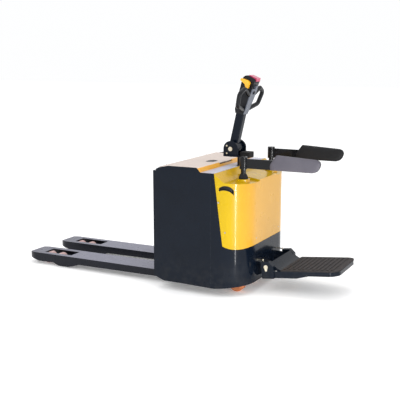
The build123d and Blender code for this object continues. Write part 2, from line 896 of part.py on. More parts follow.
def grip_loops():
    """Two hand grips: bent tubes that leave the head's sides near its top and come back near its foot."""
    outer = grip_reach - grip_radius
    inside = head_sides() & block((-half, half), (-head_half, head_half), (0, fork_length))
    loops = []
    for _, side in SIDES:
        path = FilletPolyline(
            (grip_u, side * (head_half - 12), head_low + 130),
            (grip_u, side * (outer - 62), head_low + 176),
            (grip_u, side * outer, head_low + 146),
            (grip_u - 6, side * (outer - 24), head_low + 66),
            (grip_u - 22, side * (head_foot_half - 12), head_low + 26),
            radius=26,
        )
        section = Plane(origin=path @ 0, z_dir=path % 0) * Circle(grip_radius)
        loops.append(leaned(sweep(section, path=path) - inside))
    return Compound(loops)


def throttle():
    """One shaft with a wing on each side of the head."""
    knob = tube_y(0, 0, shaft_radius, -head_half - 6, head_half + 6)
    for low in (-head_half - 26, head_half + 6):
        wing = slab(
            poly((-42, 6), (-38, 19), (8, 15), (24, 4), (20, -34), (6, -37), (-6, -12)), low, low + 20
        )
        knob += fillet(wing.edges().filter_by(Axis.Y), 4)
    return leaned(Pos(throttle_u, 0, throttle_w) * knob)


# ---- side guards ----
def guard_posts():
    return Compound(
        [
            tube_z(post_x, side * post_y, post_radius, deck_high, z_post_top - 4 + guard_rise[side])
            for _, side in SIDES
        ]
    )


def post_boots():
    """Flared rubber boots where the posts leave the hood."""
    boots = []
    for _, side in SIDES:
        boot = Pos(post_x, side * post_y, boss_top + 5) * Cylinder(29, 10)
        boot += Pos(post_x, side * post_y, boss_top + 20) * Cone(29, 19, 20)
        boots.append(boot - tube_z(post_x, side * post_y, post_radius, 0, z_post_top))
    return Compound(boots)


sleeve_radius = 24


def guard_arm(side):
    """Sleeve on the post with a flat arm towards the operator."""
    y = side * post_y
    sleeve = tube_z(post_x, y, sleeve_radius, z_guard_low - 4, z_post_top + 4)
    arm = block((post_x, guard_arm_end + 60), (y - 4, y + 4), (z_guard_low, z_guard_low + guard_height))
    bore = tube_z(post_x, y, post_radius + run_gap, z_guard_low - 10, z_post_top)
    return Pos(0, 0, guard_rise[side]) * (sleeve + arm - bore)


def guard_pad(side):
    """The padded plate at the arm's end, slotted over the arm."""
    y = side * post_y
    low, high = z_guard_low - 2, guard_pad_top
    outline = [
        Line((guard_arm_end, low), (guard_arm_end, low + 36)),
        Line((guard_arm_end, low + 36), (guard_arm_end + 44, high)),
        Line((guard_arm_end + 44, high), (guard_end - 26, high - 14)),
        ThreePointArc((guard_end - 26, high - 14), (guard_end - 6, high - 22), (guard_end, high - 40)),
        ThreePointArc((guard_end, high - 40), (guard_end - 16, low + 16), (guard_end - 52, low)),
        Line((guard_end - 52, low), (guard_arm_end, low)),
    ]
    pad = slab(outline, y - guard_pad_thick / 2, y + guard_pad_thick / 2)
    pad = fillet(pad.edges().filter_by(GeomType.LINE).filter_by(Plane.XZ), 4)
    pad -= block(
        (guard_arm_end - 1, guard_arm_end + 60), (y - 4, y + 4), (z_guard_low, z_guard_low + guard_height)
    )
    return Pos(0, 0, guard_rise[side]) * pad


# ---- operator platform, built level around its hinge and then tilted ----
bracket_y = 150
bracket_plate = 12
shaft_y = 198
hinge_radius = 11


def platform_bracket():
    """Two lugs on the rear skirt with the shaft that the platform turns on."""
    weldment = tube_y(hinge_x, z_hinge, hinge_radius, -shaft_y, shaft_y)
    for _, side in SIDES:
        y_range = sorted((side * bracket_y, side * (bracket_y + bracket_plate)))
        weldment += slab(
            poly(
                (body_length, z_hinge - 66),
                (hinge_x + 6, z_hinge - 30),
                (hinge_x + 24, z_hinge),
                (hinge_x + 10, z_hinge + 21),
                (body_length, z_hinge + 22),
            ),
            *y_range,
        )
    return weldment


def tilted(shape):
    return about(hinge_x, z_hinge, -platform_tilt) * shape


arm_inner = 165
plate_thick = 5


def platform_frame():
    """Folded steel tray with a hinge arm on each side and a curved apron between them."""
    top = -mat_below_hinge - mat_thick
    tray_front, tray_end = mat_start - 30, platform_reach - 4
    wide = platform_half
    tray = block((tray_front, tray_end), (-wide, wide), (top - 42, top))
    corners = tray.edges().filter_by(Axis.Z).group_by(Axis.X)[-1]
    tray = fillet(corners, 60)
    tray &= slab(
        poly(
            (0, top),
            (tray_end, top),
            (tray_end, top - 26),
            (tray_front + 210, top - 26),
            (tray_front + 130, top - 42),
            (0, top - 42),
        ),
        -wide - 1,
        wide + 1,
    )
    hollow = block(
        (tray_front - 1, tray_end - plate_thick), (-wide + plate_thick, wide - plate_thick), (top - 60, top - plate_thick)
    )
    hollow = fillet(hollow.edges().filter_by(Axis.Z).group_by(Axis.X)[-1], 55)
    frame = tray - hollow
    for _, side in SIDES:
        y_range = sorted((side * arm_inner, side * hinge_half))
        arm = slab(poly((-33, -70), (47, -70), (47, 8), (18, 38), (-33, 38)), *y_range)
        fin_range = sorted((side * arm_inner, side * (arm_inner + 8)))
        fin = slab(
            [
                Line((0, 30), (20, 34)),
                ThreePointArc((20, 34), (48, 4), (mat_start, top)),
                Line((mat_start, top), (0, top)),
                Line((0, top), (0, 30)),
            ],
            *fin_range,
        )
        skirt_range = sorted((side * (wide - plate_thick), side * wide))
        frame += fillet(arm.edges().filter_by(Axis.Y), 4) + fin
        frame += block((40, tray_front + 20), skirt_range, (top - 42, top))
    frame += slab(
        [
            ThreePointArc((26, 31), (48, 4), (mat_start, top)),
            Line((mat_start, top), (mat_start, top - plate_thick)),
            ThreePointArc((mat_start, top - plate_thick), (44, 0), (23, 27)),
            Line((23, 27), (26, 31)),
        ],
        -arm_inner,
        arm_inner,
    )
    bore = tube_y(0, 0, hinge_radius + run_gap, -half, half)
    return tilted(frame - bore)


def platform_mat():
    """Ribbed rubber mat with two rounded rear corners."""
    low = -mat_below_hinge - mat_thick
    mat = block((mat_start, platform_reach), (-platform_half, platform_half), (low, low + mat_thick - 3))
    mat = fillet(mat.edges().filter_by(Axis.Z).group_by(Axis.X)[-1], 60)
    pitch = (platform_reach - mat_start - 40) / rib_count
    for i in range(rib_count):
        start = mat_start + 12 + i * pitch
        mat += block(
            (start, start + pitch * 0.5),
            (-platform_half + 26, platform_half - 26),
            (low + mat_thick - 3, low + mat_thick),
        )
    return tilted(mat)


def hinge_caps():
    """Keyhole-shaped caps over the shaft's ends."""
    caps = []
    for low in (-hinge_half - 5, hinge_half):
        cap = tube_y(0, 4, 13, low, low + 5) + tube_y(0, -16, 7, low, low + 5)
        cap += slab(poly((-12, 0), (12, 0), (6, -18), (-6, -18)), low, low + 5)
        caps.append(tilted(cap))
    return Compound(caps)


# ---- export ----
def parts():
    yield "front_wall", front_wall()
    yield "rear_skirt", rear_skirt()
    yield "battery_bay", battery_bay()
    yield "drive_deck", drive_deck()
    yield "hood", hood()
    yield "hood_grips", hood_grips()
    yield "hood_screws", hood_screws()
    yield "dash_panel", dash_panel()
    yield "lid_step", lid_step()
    yield "battery_lid", battery_lid()
    yield "battery", battery()
    yield "hydraulic_unit", hydraulic_unit()
    yield "motor_controller", motor_controller()
    yield "lift_cylinders", lift_cylinders()
    yield "piston_rods", piston_rods()
    yield "carriage_plate", carriage_plate()
    yield "drive_unit", drive_unit()
    yield "traction_motor", traction_motor()
    yield "steering_column", steering_column()
    yield "tiller_base", tiller_base()
    yield "tiller_bumper", tiller_bumper()
    yield "drive_hub", drive_hub()
    yield "drive_tyre", drive_tyre()
    yield "tiller_arm", tiller_arm()
    yield "pivot_bolt", pivot_bolt()
    yield "tiller_head", tiller_head()
    yield "head_fascia", head_fascia()
    yield "grip_loops", grip_loops()
    yield "throttle", throttle()
    yield "belly_button", belly_button()
    yield "horn_button", horn_button()
    yield "lift_rocker", lift_rocker()
    yield "guard_posts", guard_posts()
    yield "post_boots", post_boots()
    yield "platform_bracket", platform_bracket()
    yield "platform_frame", platform_frame()
    yield "platform_mat", platform_mat()
    yield "hinge_caps", hinge_caps()
    for name, side in SIDES:
        yield f"side_panel_{name}", side_panel(side)
        yield f"fork_{name}", fork(side)
        yield f"load_arm_{name}", load_arm(side)
        yield f"bogie_{name}", bogie(side)
        yield f"load_roller_{name}_front", load_roller(side, -1)
        yield f"load_roller_{name}_rear", load_roller(side, 1)
        yield f"pull_rod_{name}", pull_rod(side)
        yield f"guard_arm_{name}", guard_arm(side)
        yield f"guard_pad_{name}", guard_pad(side)
        yield f"caster_fork_{name}", caster_fork(side)
        yield f"caster_wheel_{name}", caster_wheel(side)


os.makedirs("parts", exist_ok=True)
for node, shape in parts():
    save(shape, node)
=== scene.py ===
# %% [markdown]
# # An electric rider pallet truck
#
# The truck's hard parts come from a CAD model, already in metres and already sorted into bodies that
# move. Blender's work is the surface: paint, moulded plastic, rubber, polyurethane, and the small or
# soft pieces that are easier to make with mesh tools than in CAD. Loading the frame first, and never
# moving it, keeps every finish and every added piece in step with the joints.

# %% Load the frame
import bpy, bmesh, json, math
from mathutils import Matrix, Vector


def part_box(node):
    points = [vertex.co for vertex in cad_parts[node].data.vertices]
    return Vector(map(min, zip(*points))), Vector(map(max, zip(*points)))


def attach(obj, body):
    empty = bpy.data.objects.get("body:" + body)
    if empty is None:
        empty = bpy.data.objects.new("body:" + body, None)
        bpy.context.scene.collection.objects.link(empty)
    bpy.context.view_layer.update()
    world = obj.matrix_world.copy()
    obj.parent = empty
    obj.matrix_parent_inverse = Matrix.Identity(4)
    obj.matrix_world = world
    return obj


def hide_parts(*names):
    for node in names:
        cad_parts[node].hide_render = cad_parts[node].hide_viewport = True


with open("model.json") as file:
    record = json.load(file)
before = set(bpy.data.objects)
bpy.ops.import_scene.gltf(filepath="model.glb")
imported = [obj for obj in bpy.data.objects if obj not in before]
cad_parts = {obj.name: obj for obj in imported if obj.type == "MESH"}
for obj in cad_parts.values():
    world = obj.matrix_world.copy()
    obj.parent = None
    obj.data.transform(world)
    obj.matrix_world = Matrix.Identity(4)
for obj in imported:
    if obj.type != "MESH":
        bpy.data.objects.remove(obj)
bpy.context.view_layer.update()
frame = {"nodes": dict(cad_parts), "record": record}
nodes = frame["nodes"]

# %% [markdown]
# ## Camera
#
# A long lens seen from a little above the battery's height keeps the forks' edges almost parallel, as
# in a catalogue picture. The camera is placed by where it stands, how far it is turned from looking
# along +Y, and how far it dips. Tracking constraints would do the same, but two angles are easier to read.

# %% Camera
camera_place = Vector((2.459, -4.551, 1.477))
camera_turn, camera_dip = math.radians(27.07), math.radians(10.61)
camera = bpy.data.objects.new("camera", bpy.data.cameras.new("camera"))
bpy.context.scene.collection.objects.link(camera)
camera.location = camera_place
camera.rotation_euler = (math.pi / 2 - camera_dip, 0, camera_turn)
camera.data.sensor_width = 36
camera.data.lens = 69.98
camera.data.shift_x = -0.005
camera.data.clip_end = 60
bpy.context.scene.camera = camera
print("camera stands", round(camera_place.length, 2), "m from the truck's middle")

# %% [markdown]
# ## Studio
#
# Product pictures of machines are lit by large white panels, so that dark paint shows long soft
# reflections instead of points. The world gives an even white fill; one big panel high in front is the
# key and a second one lights the tops. Two tall narrow panels draw the bright line down the round
# corner: the far one on the hood, the near and dim one on the skirt as well, where a far panel's
# mirror image would lie below the floor. Area lights are used because their size sets how soft the
# shadow is.

# %% Studio light
studio = bpy.data.worlds.new("studio")
bpy.context.scene.world = studio
studio.use_nodes = True
studio.node_tree.nodes["Background"].inputs["Color"].default_value = (0.99, 0.995, 1.0, 1)
studio.node_tree.nodes["Background"].inputs["Strength"].default_value = 1.0
bpy.context.scene.view_settings.view_transform = "Standard"
bpy.context.scene.view_settings.look = "None"


def panel(name, place, aim, size, power, tint=(1, 1, 1)):
    """One rectangular studio light, turned towards a point."""
    light = bpy.data.lights.new(name, "AREA")
    light.shape = "RECTANGLE"
    light.size, light.size_y = size
    light.energy = power
    light.color = tint
    lamp = bpy.data.objects.new(name, light)
    bpy.context.scene.collection.objects.link(lamp)
    lamp.location = place
    lamp.rotation_euler = (Vector(aim) - Vector(place)).to_track_quat("-Z", "Y").to_euler()
    return lamp


panel("key", (-1.5, -4.6, 4.2), (0, 0, 0.5), (3.2, 2.2), 60)
panel("top", (0.2, 0.4, 4.6), (0, 0, 0.4), (3.6, 2.6), 40)
panel("corner_line", (3.62, -2.04, 0.45), (0.54, -0.35, 0.45), (0.10, 0.9), 34)
panel("skirt_line", (1.15, -0.69, 0.36), (0.54, -0.35, 0.36), (0.03, 0.68), 2.4)
panel("rear_fill", (4.6, 1.2, 2.2), (0.6, 0, 0.5), (1.8, 2.4), 7, (1, 0.86, 0.74))
print("five panels and a white world")

# %% [markdown]
# ## Floor
#
# The floor is a wide pale sheet. It is part of the studio, not of the truck.
# A plain quad is enough because nothing of its shape shows, and its finish is a faintly mottled white.

# %% Floor
floor_mesh = bpy.data.meshes.new("floor")
floor_reach = 30
floor_corners = [(x * floor_reach, y * floor_reach, 0) for x, y in ((-1, -1), (1, -1), (1, 1), (-1, 1))]
floor_mesh.from_pydata(floor_corners, [], [(0, 1, 2, 3)])
floor = bpy.data.objects.new("floor", floor_mesh)
bpy.context.scene.collection.objects.link(floor)
print("floor", 2 * floor_reach, "m across")

# %% [markdown]
# ## A workbench for finishes
#
# Every finish starts from the same few nodes: object coordinates in metres, so a grain of 2 mm is a
# grain of 2 mm on every part; a slow noise for patchiness; and a fine noise for roughness and bump.
# Image textures would need unwrapped meshes, while noise needs nothing and never repeats.

# %% Helpers for finishes
def new_finish(name):
    """An empty finish: its material, its node tree and its main shader."""
    material = bpy.data.materials.new(name)
    material.use_nodes = True
    tree = material.node_tree
    return material, tree, tree.nodes["Principled BSDF"]


def noise(tree, size, detail=3.0, stretch=(1, 1, 1), rough=0.55):
    """Noise whose blobs are about size metres across, stretched along the axes if asked."""
    place = tree.nodes.new("ShaderNodeTexCoord")
    scale = tree.nodes.new("ShaderNodeMapping")
    scale.inputs["Scale"].default_value = stretch
    field = tree.nodes.new("ShaderNodeTexNoise")
    field.inputs["Scale"].default_value = 1 / size
    field.inputs["Detail"].default_value = detail
    field.inputs["Roughness"].default_value = rough
    tree.links.new(place.outputs["Object"], scale.inputs["Vector"])
    tree.links.new(scale.outputs["Vector"], field.inputs["Vector"])
    return field.outputs["Fac"]


def ramp(tree, value, low, high, low_to=0.0, high_to=1.0):
    """Stretches the part of a value between low and high over a new range."""
    node = tree.nodes.new("ShaderNodeMapRange")
    node.clamp = True
    for socket, number in (("From Min", low), ("From Max", high), ("To Min", low_to), ("To Max", high_to)):
        node.inputs[socket].default_value = number
    tree.links.new(value, node.inputs["Value"])
    return node.outputs["Result"]


def times(tree, a, b):
    node = tree.nodes.new("ShaderNodeMath")
    node.operation = "MULTIPLY"
    for socket, value in zip(node.inputs, (a, b)):
        if isinstance(value, (int, float)):
            socket.default_value = value
        else:
            tree.links.new(value, socket)
    return node.outputs[0]


def mix(tree, amount, under, over):
    """Two colours, or a colour socket and a colour, mixed by an amount socket."""
    node = tree.nodes.new("ShaderNodeMix")
    node.data_type = "RGBA"
    tree.links.new(amount, node.inputs["Factor"])
    for socket, colour in ((node.inputs[6], under), (node.inputs[7], over)):
        if isinstance(colour, (tuple, list)):
            socket.default_value = (*colour, 1)
        else:
            tree.links.new(colour, socket)
    return node.outputs[2]


def bump(tree, shader, height, depth, strength=1.0):
    """Raises the surface by depth metres where height is 1."""
    node = tree.nodes.new("ShaderNodeBump")
    node.inputs["Distance"].default_value = depth
    node.inputs["Strength"].default_value = strength
    tree.links.new(height, node.inputs["Height"])
    tree.links.new(node.outputs["Normal"], shader.inputs["Normal"])


def place_along(tree, axis):
    """Each point's place along one axis, in metres; along Z that is its height above the floor."""
    place = tree.nodes.new("ShaderNodeTexCoord")
    split = tree.nodes.new("ShaderNodeSeparateXYZ")
    tree.links.new(place.outputs["Object"], split.inputs["Vector"])
    return split.outputs[axis]


def worn_edges(tree, width=0.003):
    """1 on sharp outside edges, 0 on flats: compares the true normal with a rounded one."""
    rounded = tree.nodes.new("ShaderNodeBevel")
    rounded.samples = 4
    rounded.inputs["Radius"].default_value = width
    true = tree.nodes.new("ShaderNodeNewGeometry")
    dot = tree.nodes.new("ShaderNodeVectorMath")
    dot.operation = "DOT_PRODUCT"
    tree.links.new(rounded.outputs["Normal"], dot.inputs[0])
    tree.links.new(true.outputs["Normal"], dot.inputs[1])
    return ramp(tree, dot.outputs["Value"], 0.99, 0.86)


def clothe(tree, shader, dark, light, patch, rough, grain, depth):
    """The common coat: patchy colour, patchy roughness and a fine grain of its real size."""
    patches = noise(tree, patch, 4)
    colour = mix(tree, ramp(tree, patches, 0.3, 0.7), dark, light)
    fine = noise(tree, grain, 0)
    tree.links.new(ramp(tree, noise(tree, patch * 0.35, 5), 0.3, 0.7, *rough), shader.inputs["Roughness"])
    bump(tree, shader, fine, depth)
    tree.links.new(colour, shader.inputs["Base Color"])
    return colour


finishes = {}
print("finish tools ready")

# %% [markdown]
# ## Powder-coated steel
#
# Panels, forks, tiller and platform are steel sprayed with a charcoal powder and baked. The coat is
# satin, with the slight ripple called orange peel, which a 3 mm noise in the bump gives. Working
# machines get grey dust low down and pale rubbed edges, so both are mixed into the colour. The
# shine comes from a thin clear coat over a nearly dull base: it draws a sharp line on round corners
# but leaves the flat panels dark.

# %% Powder-coated steel
def charcoal_coat(name, dark, light, rough, dust=0.3, shine=0.04):
    material, tree, shader = new_finish(name)
    colour = clothe(tree, shader, dark, light, 0.18, rough, 0.003, 0.00012)
    low = ramp(tree, place_along(tree, "Z"), 0.26, 0.02)
    film = times(tree, times(tree, low, ramp(tree, noise(tree, 0.05, 5), 0.42, 0.75)), dust)
    dusty = mix(tree, film, colour, (0.05, 0.048, 0.046))
    rubbed = times(tree, worn_edges(tree), ramp(tree, noise(tree, 0.02, 4), 0.35, 0.7, 0.0, 0.4))
    tree.links.new(mix(tree, rubbed, dusty, (0.07, 0.08, 0.10)), shader.inputs["Base Color"])
    shader.inputs["Specular IOR Level"].default_value = shine
    shader.inputs["Coat Weight"].default_value = 0.25
    shader.inputs["Coat Roughness"].default_value = 0.08
    return material


satin = (0.2, 0.3)
finishes["charcoal_paint"] = charcoal_coat(
    "charcoal_paint", (0.0022, 0.0048, 0.0105), (0.0034, 0.0068, 0.0140), satin)
finishes["black_paint"] = charcoal_coat(
    "black_paint", (0.0022, 0.0025, 0.0035), (0.004, 0.0044, 0.006), satin, shine=0.15)
print("powder coat mixed")

# %% [markdown]
# ## Fork steel
#
# The forks carry the same coat, but pallets slide over their tops, which polishes and scratches the
# paint along the fork. Noise stretched thirty times along X makes those scratches. They are only on
# surfaces that face up, so the mask comes from the upward part of the normal. The upward faces are
# also greyed evenly, less towards the tips: a painted reflection of the bright studio on the fork tops.

# %% Fork steel
def facing(tree, axis, low, high):
    """1 where the surface looks along an axis, 0 where it looks elsewhere."""
    normal = tree.nodes.new("ShaderNodeNewGeometry")
    split = tree.nodes.new("ShaderNodeSeparateXYZ")
    tree.links.new(normal.outputs["Normal"], split.inputs["Vector"])
    return ramp(tree, split.outputs[axis], low, high)


def facing_up(tree):
    return facing(tree, "Z", 0.75, 0.98)


def fork_coat():
    material, tree, shader = new_finish("fork_paint")
    colour = clothe(tree, shader, (0.0032, 0.0042, 0.0085), (0.0055, 0.0066, 0.0125),
                    0.12, (0.24, 0.4), 0.0025, 0.0001)
    shader.inputs["Specular IOR Level"].default_value = 0.22
    scratch = ramp(tree, noise(tree, 0.004, 3, (0.03, 1, 1)), 0.55, 0.72)
    patch = ramp(tree, noise(tree, 0.22, 3), 0.35, 0.65, 0.35, 1.0)
    up = facing_up(tree)
    rubbed = times(tree, up, times(tree, scratch, patch))
    # Painted reflection: the upward faces are greyed evenly, weakest at the tips, standing for the studio's
    # sheen on the fork tops.
    tip_end, sheen_full_from = -1.35, -0.75
    top_sheen_mask = times(tree, up, ramp(tree, place_along(tree, "X"), tip_end, sheen_full_from, 0.25, 0.95))
    sheen_greyed = mix(tree, top_sheen_mask, colour, (0.17, 0.17, 0.23))
    scratched = mix(tree, times(tree, rubbed, 0.4), sheen_greyed, (0.20, 0.20, 0.24))
    tree.links.new(scratched, shader.inputs["Base Color"])
    return material


finishes["fork_paint"] = fork_coat()
print("fork coat mixed")

# %% [markdown]
# ## The glossy hood
#
# The hood is thermoformed plastic, coloured right through, with a hard shine. Its base colour is a
# saturated yellow; a clear coat on top gives the sharp reflection of the light panels while the
# yellow below stays rich. A slow noise in the roughness breaks up the shine, as on a real moulding. A
# bump is left out on purpose: on so smooth a shell it only shows the mesh's long triangles as specks.

# %% Glossy hood
def hood_gloss():
    material, tree, shader = new_finish("yellow_cover")
    patches = ramp(tree, noise(tree, 0.3, 3), 0.3, 0.7)
    colour = mix(tree, patches, (0.50, 0.325, 0.001), (0.52, 0.34, 0.0015))
    # Painted light: faces looking along +X, the rear, are mixed towards a warmer orange that stands for the
    # warm glare on the rear face.
    colour = mix(tree, times(tree, facing(tree, "X", 0.55, 0.95), 0.75), colour, (0.58, 0.285, 0.036))
    # Painted light: faces looking up are mixed towards a more orange yellow that stands for how the lamps
    # fall on the top.
    colour = mix(tree, times(tree, facing(tree, "Z", 0.6, 0.98), 0.5), colour, (0.55, 0.30, 0.003))
    tree.links.new(colour, shader.inputs["Base Color"])
    tree.links.new(ramp(tree, noise(tree, 0.1, 1), 0.3, 0.7, 0.26, 0.33), shader.inputs["Roughness"])
    shader.inputs["Specular IOR Level"].default_value = 0.12
    shader.inputs["Coat Weight"].default_value = 0.3
    shader.inputs["Coat Roughness"].default_value = 0.1
    return material


finishes["yellow_cover"] = hood_gloss()
print("hood gloss mixed")

# %% [markdown]
# ## Moulded plastics
#
# The lid, the tiller's head, its side covers, the buttons and the guards are moulded with a spark-eroded
# grain: a fine, even pebble under a millimetre across. One recipe with different colours, grain and
# roughness covers them all, which also keeps them looking like one maker's parts.

# %% Moulded plastics
def moulded(name, dark, light, rough, grain=0.0009, depth=0.00008, coat=0.0):
    material, tree, shader = new_finish(name)
    colour = clothe(tree, shader, dark, light, 0.09, rough, grain, depth)
    handled = times(tree, worn_edges(tree, 0.002), ramp(tree, noise(tree, 0.015, 3), 0.4, 0.7, 0.0, 0.35))
    lighter = tuple(min(1, 1.35 * c + 0.02) for c in light)
    tree.links.new(mix(tree, handled, colour, lighter), shader.inputs["Base Color"])
    shader.inputs["Coat Weight"].default_value = coat
    shader.inputs["Coat Roughness"].default_value = 0.12
    return material


plastics = {
    "beige_lid": dict(dark=(0.56, 0.470, 0.420), light=(0.61, 0.515, 0.46), rough=(0.42, 0.58),
                      grain=0.0012, depth=0.0001),
    "black_plastic": dict(dark=(0.0035, 0.0042, 0.0065), light=(0.0065, 0.0075, 0.0105), rough=(0.3, 0.44)),
    "grey_plastic": dict(dark=(0.085, 0.098, 0.13), light=(0.11, 0.125, 0.16), rough=(0.36, 0.5)),
    "throttle_yellow": dict(dark=(0.88, 0.42, 0.012), light=(0.94, 0.50, 0.02), rough=(0.25, 0.38), coat=0.4),
    "button_red": dict(dark=(0.42, 0.010, 0.075), light=(0.50, 0.016, 0.10), rough=(0.26, 0.4), coat=0.4),
    "battery_case": dict(dark=(0.04, 0.05, 0.065), light=(0.06, 0.07, 0.09), rough=(0.4, 0.6)),
    # The guards' grey skin is painted light for the pads' lit outside; the black skin below is painted shade
    # for their inside.
    "guard_skin": dict(dark=(0.074, 0.069, 0.089), light=(0.092, 0.086, 0.107), rough=(0.45, 0.6),
                       grain=0.0016, depth=0.00015),
    "guard_skin_inner": dict(dark=(0.004, 0.004, 0.005), light=(0.007, 0.007, 0.008), rough=(0.45, 0.62),
                             grain=0.0016, depth=0.0002),
    # The finger slot's dark brown is painted shade in the recess.
    "slot_brown": dict(dark=(0.045, 0.018, 0.008), light=(0.07, 0.028, 0.012), rough=(0.4, 0.55)),
}
for name, look in plastics.items():
    finishes[name] = moulded(name, **look)
for name in ("black_plastic", "guard_skin_inner"):
    finishes[name].node_tree.nodes["Principled BSDF"].inputs["Specular IOR Level"].default_value = 0.25
print("moulded plastics:", len(plastics))

# %% [markdown]
# ## Satin paint on small steel parts
#
# The orange strip behind the lid and the pale grey band before the hood are thin painted steel. They
# get the same coat as the panels with less dust and their own colours.

# %% Small painted parts
def small_paint(name, dark, light, rough):
    material, tree, shader = new_finish(name)
    colour = clothe(tree, shader, dark, light, 0.05, rough, 0.0025, 0.0001)
    chips = times(tree, worn_edges(tree, 0.0015), ramp(tree, noise(tree, 0.008, 3), 0.5, 0.65, 0.0, 0.6))
    tree.links.new(mix(tree, chips, colour, (0.16, 0.12, 0.09)), shader.inputs["Base Color"])
    shader.inputs["Coat Weight"].default_value = 0.3
    shader.inputs["Coat Roughness"].default_value = 0.2
    return material


finishes["orange_strip"] = small_paint("orange_strip", (0.72, 0.33, 0.02), (0.80, 0.40, 0.04), (0.34, 0.48))
finishes["grey_band"] = small_paint("grey_band", (0.34, 0.345, 0.45), (0.41, 0.415, 0.52), (0.32, 0.45))
print("small painted parts mixed")

# %% [markdown]
# ## Rubber
#
# The mat, the boots round the guard posts and the bumper are black rubber: almost no shine, a dry
# grain, and dust that settles on whatever faces up. Dust goes on with the upward mask and a broken
# noise, so it gathers in places instead of greying everything evenly.

# %% Rubber
def rubber(name, dark, light, dust):
    material, tree, shader = new_finish(name)
    colour = clothe(tree, shader, dark, light, 0.03, (0.62, 0.85), 0.0011, 0.00022)
    settled = times(tree, facing_up(tree), ramp(tree, noise(tree, 0.02, 6), 0.38, 0.72, 0.1, dust))
    tree.links.new(mix(tree, settled, colour, (0.085, 0.07, 0.07)), shader.inputs["Base Color"])
    shader.inputs["Specular IOR Level"].default_value = 0.3
    return material


finishes["black_rubber"] = rubber("black_rubber", (0.005, 0.005, 0.006), (0.009, 0.0085, 0.0095), 0.15)
finishes["mat_rubber"] = rubber("mat_rubber", (0.009, 0.0075, 0.0085), (0.016, 0.0135, 0.0145), 0.4)
print("rubber mixed")

# %% [markdown]
# ## Polyurethane wheels
#
# Load rollers and casters are cast polyurethane: slightly waxy, with a little light passing under the
# surface. Their running faces go grey with floor dirt, which sits in streaks round the wheel. The
# rollers are a dusty pink, the drive and caster tyres an orange brown.

# %% Polyurethane wheels
def polyurethane(name, dark, light, dirt):
    material, tree, shader = new_finish(name)
    colour = clothe(tree, shader, dark, light, 0.03, (0.38, 0.6), 0.0014, 0.00012)
    streak = ramp(tree, noise(tree, 0.006, 4, (1, 4, 1)), 0.45, 0.75, 0.0, dirt)
    tree.links.new(mix(tree, streak, colour, (0.07, 0.055, 0.05)), shader.inputs["Base Color"])
    shader.inputs["Subsurface Weight"].default_value = 0.08
    shader.inputs["Subsurface Radius"].default_value = (0.006, 0.003, 0.002)
    return material


finishes["roller_polyurethane"] = polyurethane(
    "roller_polyurethane", (0.50, 0.31, 0.30), (0.60, 0.40, 0.385), dirt=0.35)
finishes["caster_polyurethane"] = polyurethane(
    "caster_polyurethane", (0.52, 0.16, 0.055), (0.64, 0.22, 0.08), dirt=0.3)
print("polyurethane mixed")

# %% [markdown]
# ## Bare metals
#
# Rods and pins are ground steel, brackets and caps are zinc plated, the controller is finned
# aluminium, and the gearbox is a painted casting. Ground and drawn metal has fine lines along one
# axis, so its noise is stretched; a casting has an even sandy skin and no lines.

# %% Bare metals
def metal(name, dark, light, rough, stretch, grain, depth, metallic):
    material, tree, shader = new_finish(name)
    colour = mix(tree, ramp(tree, noise(tree, 0.04, 4), 0.3, 0.7), dark, light)
    lines = noise(tree, grain, 3, stretch)
    tree.links.new(colour, shader.inputs["Base Color"])
    tree.links.new(ramp(tree, lines, 0.3, 0.7, *rough), shader.inputs["Roughness"])
    bump(tree, shader, lines, depth)
    shader.inputs["Metallic"].default_value = metallic
    return material


metals = {
    "steel": dict(dark=(0.36, 0.37, 0.39), light=(0.46, 0.47, 0.49), rough=(0.22, 0.4),
                  stretch=(1, 1, 0.06), grain=0.0012, depth=0.00003, metallic=1),
    "zinc": dict(dark=(0.66, 0.60, 0.46), light=(0.80, 0.74, 0.60), rough=(0.28, 0.5),
                 stretch=(1, 1, 1), grain=0.006, depth=0.00005, metallic=0.9),
    "aluminium": dict(dark=(0.50, 0.51, 0.52), light=(0.60, 0.61, 0.62), rough=(0.35, 0.55),
                      stretch=(1, 0.1, 1), grain=0.001, depth=0.00004, metallic=1),
    "cast_iron": dict(dark=(0.035, 0.036, 0.04), light=(0.055, 0.056, 0.06), rough=(0.5, 0.75),
                      stretch=(1, 1, 1), grain=0.0025, depth=0.0003, metallic=0.2),
}
for name, look in metals.items():
    finishes[name] = metal(name, **look)
print("bare metals:", len(metals))

# %% [markdown]
# ## Dress the floor and the CAD parts
#
# The record names a material slot for every part, so one loop can dress them all. Real sheet metal
# and mouldings have no razor edges, so each part also gets a Bevel modifier: it only rounds edges
# sharper than 35 degrees and its width suits the part. A bevel catches a thin highlight, which is most
# of what makes an edge look real. Modifiers leave the CAD mesh itself as it is.

# %% Dress the parts
floor_finish, floor_tree, floor_shader = new_finish("floor_white")
clothe(floor_tree, floor_shader, (0.955, 0.955, 0.96), (0.975, 0.975, 0.975),
       0.6, (0.6, 0.8), 0.01, 0.0001)
floor_shader.inputs["Emission Color"].default_value = (1, 1, 1, 1)
floor_shader.inputs["Emission Strength"].default_value = 0.2
floor.data.materials.append(floor_finish)

